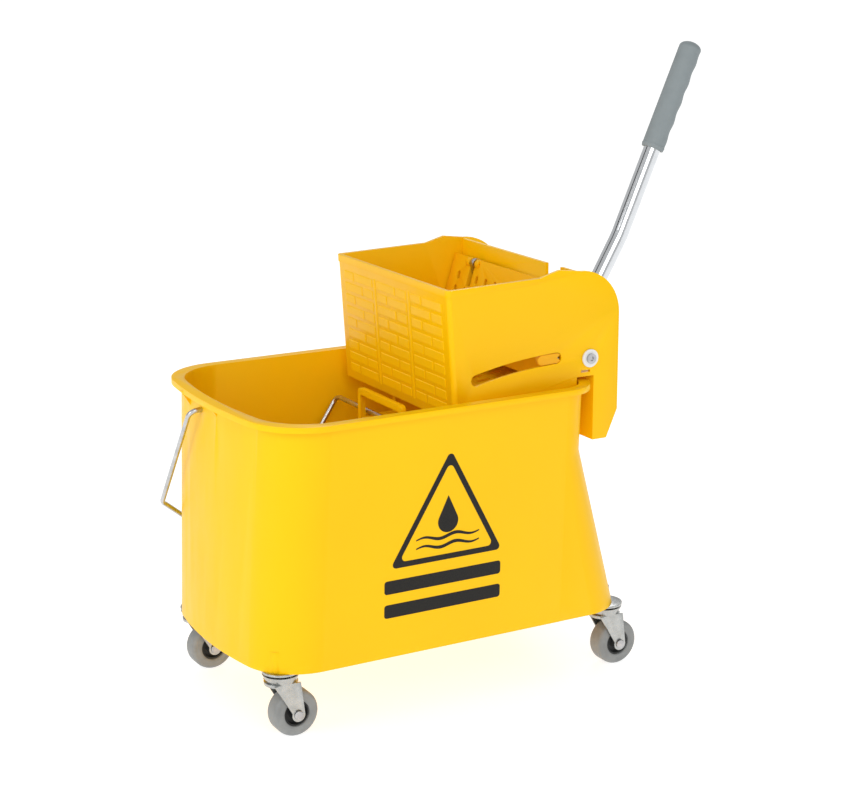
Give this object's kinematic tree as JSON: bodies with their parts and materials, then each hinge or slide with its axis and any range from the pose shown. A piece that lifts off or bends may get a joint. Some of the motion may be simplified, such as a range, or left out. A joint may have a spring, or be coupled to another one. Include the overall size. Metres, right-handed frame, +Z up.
{
  "type": "mop bucket with press wringer",
  "caption": "Wheeled rectangular mop bucket with a hook-on lever press wringer, wire carrying handle and four swivel casters.",
  "frame": {"origin": "on the floor, under the middle of the whole object's bounding box", "axes": "+X towards the lever and wringer end, +Y to the right when facing the front (-X) end, +Z up"},
  "size_m": [0.5453, 0.291, 0.6561],
  "materials": {
    "yellow_plastic": "moulded polypropylene, satin gloss",
    "plate_plastic": "moulded polypropylene, satin",
    "shoe_plastic": "moulded acetal",
    "white_nylon": "smooth moulded",
    "hub_plastic": "moulded",
    "grey_grip": "soft matt",
    "grey_tyre": "matt thermoplastic rubber",
    "black_rubber": "matt",
    "chrome_tube": "polished plating",
    "zinc_fork": "bright zinc plate",
    "zinc_wire": "zinc plated wire",
    "steel_bright": "machined"
  },
  "bodies": {
    "tub": {"tub": "yellow_plastic", "caster_front_left_plate": "zinc_fork", "caster_front_left_balls": "steel_bright", "caster_front_right_plate": "zinc_fork", "caster_front_right_balls": "steel_bright", "caster_rear_left_plate": "zinc_fork", "caster_rear_left_balls": "steel_bright", "caster_rear_right_plate": "zinc_fork", "caster_rear_right_balls": "steel_bright"},
    "carry_handle": {"carry_handle": "zinc_wire", "handle_push_nuts": "zinc_wire"},
    "wringer": {"wringer_body": "yellow_plastic", "plate_bumpers": "black_rubber", "shaft_bush_left": "white_nylon", "shaft_bush_right": "white_nylon", "return_spring_left": "steel_bright", "return_spring_right": "steel_bright"},
    "lever": {"cross_shaft": "steel_bright", "crank_left": "steel_bright", "crank_right": "steel_bright", "lever_tube": "chrome_tube", "lever_screw": "steel_bright", "lever_grip": "grey_grip", "shaft_washer_left": "white_nylon", "shaft_washer_right": "white_nylon", "shaft_bolt_left": "steel_bright", "shaft_bolt_right": "steel_bright", "hinge_pin_left": "steel_bright", "hinge_pin_right": "steel_bright"},
    "press_plate": {"press_plate": "plate_plastic", "guide_pin_left": "steel_bright", "guide_pin_right": "steel_bright"},
    "guide_shoe_left": {"guide_shoe_left": "shoe_plastic"},
    "guide_shoe_right": {"guide_shoe_right": "shoe_plastic"},
    "support_wire": {"support_wire": "zinc_wire"},
    "caster_front_left_fork": {"caster_front_left_fork": "zinc_fork", "caster_front_left_axle": "steel_bright"},
    "caster_front_left_wheel": {"caster_front_left_hub": "hub_plastic", "caster_front_left_tyre": "grey_tyre"},
    "caster_front_right_fork": {"caster_front_right_fork": "zinc_fork", "caster_front_right_axle": "steel_bright"},
    "caster_front_right_wheel": {"caster_front_right_hub": "hub_plastic", "caster_front_right_tyre": "grey_tyre"},
    "caster_rear_left_fork": {"caster_rear_left_fork": "zinc_fork", "caster_rear_left_axle": "steel_bright"},
    "caster_rear_left_wheel": {"caster_rear_left_hub": "hub_plastic", "caster_rear_left_tyre": "grey_tyre"},
    "caster_rear_right_fork": {"caster_rear_right_fork": "zinc_fork", "caster_rear_right_axle": "steel_bright"},
    "caster_rear_right_wheel": {"caster_rear_right_hub": "hub_plastic", "caster_rear_right_tyre": "grey_tyre"}
  },
  "joints": [
    {"name": "handle_swing", "type": "hinge", "parent": "tub", "child": "carry_handle", "pos_m": [-0.0785, 0.025, 0.306], "axis": [-1, 0, 0], "range_deg": [-145, 0]},
    {"name": "wringer_lift", "type": "slide", "parent": "tub", "child": "wringer", "axis": [0, 0, 1], "range_m": [0, 0.2]},
    {"name": "lever_press", "type": "hinge", "parent": "wringer", "child": "lever", "pos_m": [0.1107, 0, 0.3446], "axis": [0, -1, 0], "range_deg": [0, 44], "stiffness_Nm_per_rad": 0.9, "springref_deg": -28.65},
    {"name": "plate_swing", "type": "hinge", "parent": "lever", "child": "press_plate", "pos_m": [0.087, 0, 0.414], "axis": [0, -1, 0], "range_deg": [-83.5, 0]},
    {"name": "shoe_slide_left", "type": "hinge", "parent": "press_plate", "child": "guide_shoe_left", "pos_m": [0.0665, -0.114, 0.3488], "axis": [0, -1, 0], "range_deg": [0, 48.5]},
    {"name": "shoe_slide_right", "type": "hinge", "parent": "press_plate", "child": "guide_shoe_right", "pos_m": [0.0665, 0.114, 0.3488], "axis": [0, -1, 0], "range_deg": [0, 48.5]},
    {"name": "prop_swing", "type": "hinge", "parent": "wringer", "child": "support_wire", "pos_m": [-0.06, 0, 0.2745], "axis": [0, 1, 0], "range_deg": [0, 12]},
    {"name": "caster_front_left_swivel", "type": "hinge", "parent": "tub", "child": "caster_front_left_fork", "pos_m": [-0.2355, -0.101, 0.062], "axis": [0, 0, 1], "continuous": true},
    {"name": "caster_front_left_roll", "type": "hinge", "parent": "caster_front_left_fork", "child": "caster_front_left_wheel", "pos_m": [-0.2235, -0.101, 0.024], "axis": [0, 1, 0], "continuous": true},
    {"name": "caster_front_right_swivel", "type": "hinge", "parent": "tub", "child": "caster_front_right_fork", "pos_m": [-0.2355, 0.101, 0.062], "axis": [0, 0, 1], "continuous": true},
    {"name": "caster_front_right_roll", "type": "hinge", "parent": "caster_front_right_fork", "child": "caster_front_right_wheel", "pos_m": [-0.2235, 0.101, 0.024], "axis": [0, 1, 0], "continuous": true},
    {"name": "caster_rear_left_swivel", "type": "hinge", "parent": "tub", "child": "caster_rear_left_fork", "pos_m": [0.1465, -0.101, 0.062], "axis": [0, 0, 1], "continuous": true},
    {"name": "caster_rear_left_roll", "type": "hinge", "parent": "caster_rear_left_fork", "child": "caster_rear_left_wheel", "pos_m": [0.1585, -0.101, 0.024], "axis": [0, 1, 0], "continuous": true},
    {"name": "caster_rear_right_swivel", "type": "hinge", "parent": "tub", "child": "caster_rear_right_fork", "pos_m": [0.1465, 0.101, 0.062], "axis": [0, 0, 1], "continuous": true},
    {"name": "caster_rear_right_roll", "type": "hinge", "parent": "caster_rear_right_fork", "child": "caster_rear_right_wheel", "pos_m": [0.1585, 0.101, 0.024], "axis": [0, 1, 0], "continuous": true}
  ],
  "couplings": [
    {"joint": "plate_swing", "follows": "lever_press", "ratio": -1.88},
    {"joint": "shoe_slide_left", "follows": "lever_press", "ratio": 1.0879},
    {"joint": "shoe_slide_right", "follows": "lever_press", "ratio": 1.0879}
  ]
}
